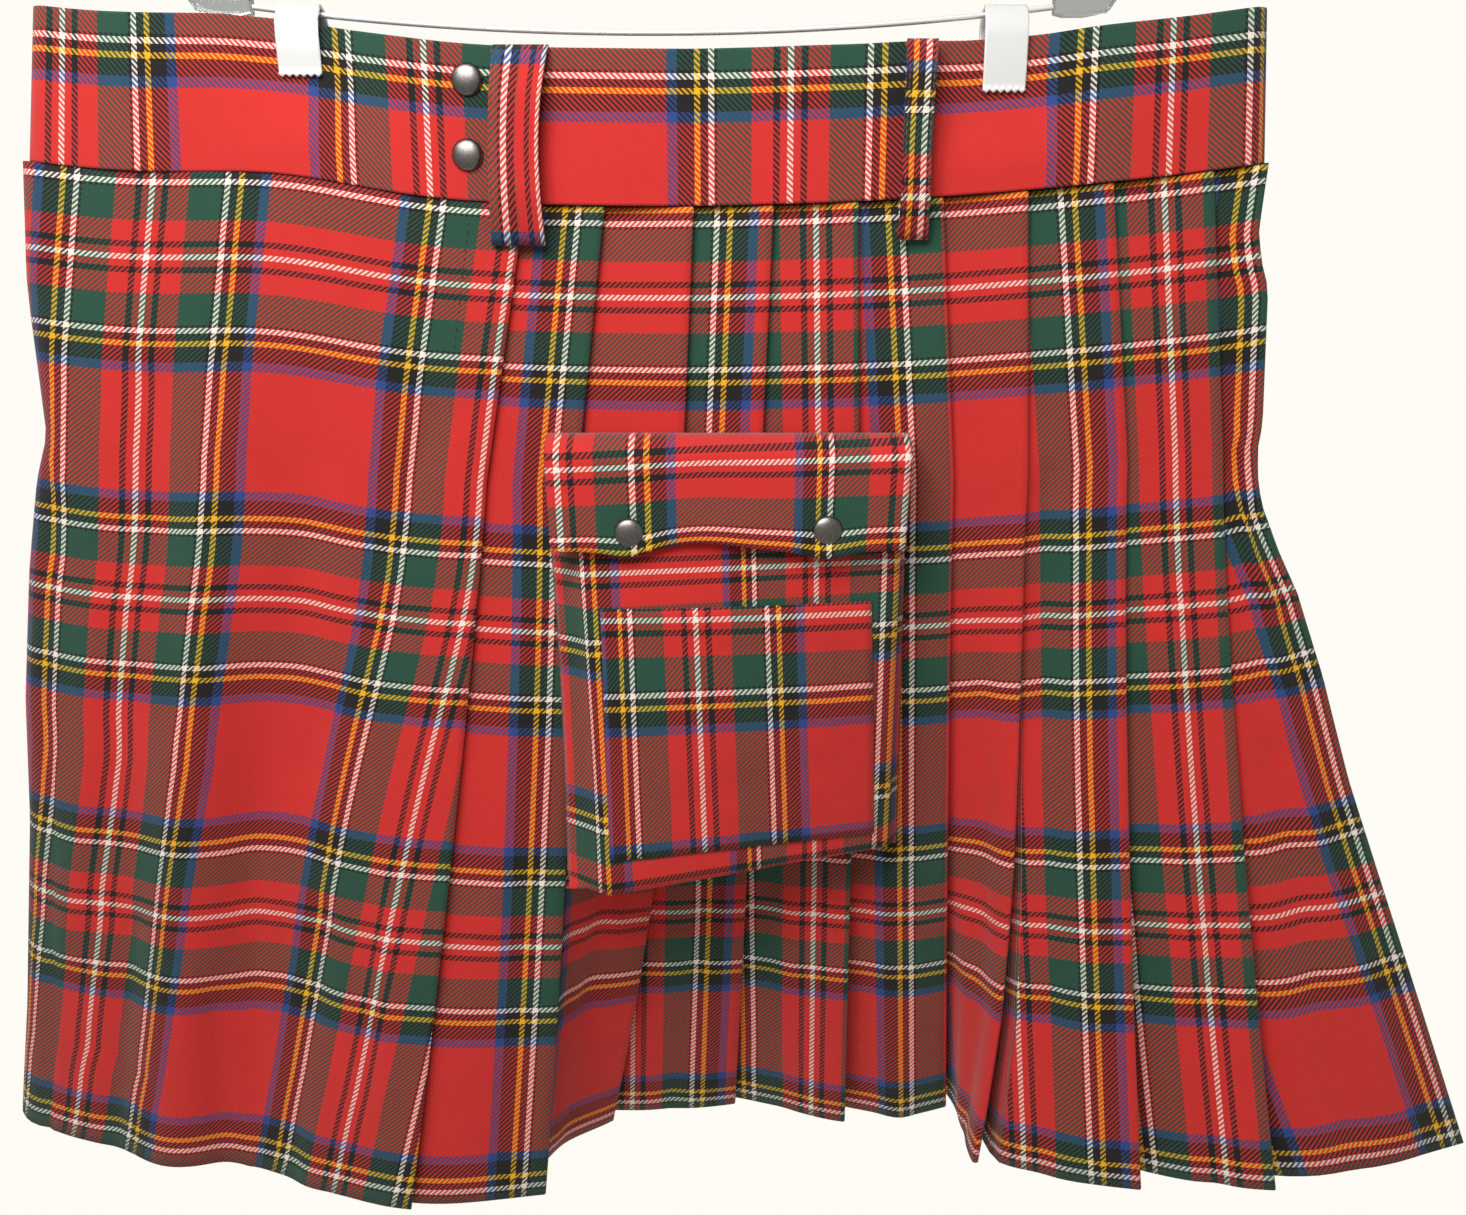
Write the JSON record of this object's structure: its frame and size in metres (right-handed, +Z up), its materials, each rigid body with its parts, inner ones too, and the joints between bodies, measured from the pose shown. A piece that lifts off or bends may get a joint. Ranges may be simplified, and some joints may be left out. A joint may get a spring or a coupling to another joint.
{
  "type": "kilt on clip hanger",
  "caption": "Pleated tartan kilt with cargo pocket, snap waistband and belt loops, hung flat by its waist on a clip hanger.",
  "frame": {"origin": "saddle of the hanger's hook, where it rests on a rail", "axes": "+Z up, +X along the waistband to the right as seen from the pocket's side, +Y away from that viewer"},
  "size_m": [0.7107, 0.1285, 0.6627],
  "materials": {
    "tartan_cloth": "matte twill, red tartan check",
    "gunmetal": "dark satin cap",
    "hanger_steel": "bright plated",
    "clear_plastic": "clear moulded"
  },
  "bodies": {
    "root": {"over_apron": "tartan_cloth", "under_apron": "tartan_cloth", "pleats_front": "tartan_cloth", "pleats_back": "tartan_cloth", "waistband": "tartan_cloth", "belt_loop_wide": "tartan_cloth", "belt_loop_narrow": "tartan_cloth", "belt_loop_back_right": "tartan_cloth", "belt_loop_back_left": "tartan_cloth", "waist_snap_1": "gunmetal", "waist_snap_2": "gunmetal", "pocket_body": "tartan_cloth", "patch_pocket": "tartan_cloth", "pocket_flap": "tartan_cloth", "pocket_snap_1": "gunmetal", "pocket_snap_2": "gunmetal", "hanger_arms": "clear_plastic", "hanger_hook": "hanger_steel", "hanger_bar": "hanger_steel", "clip_left": "hanger_steel", "clip_right": "hanger_steel"}
  },
  "joints": []
}
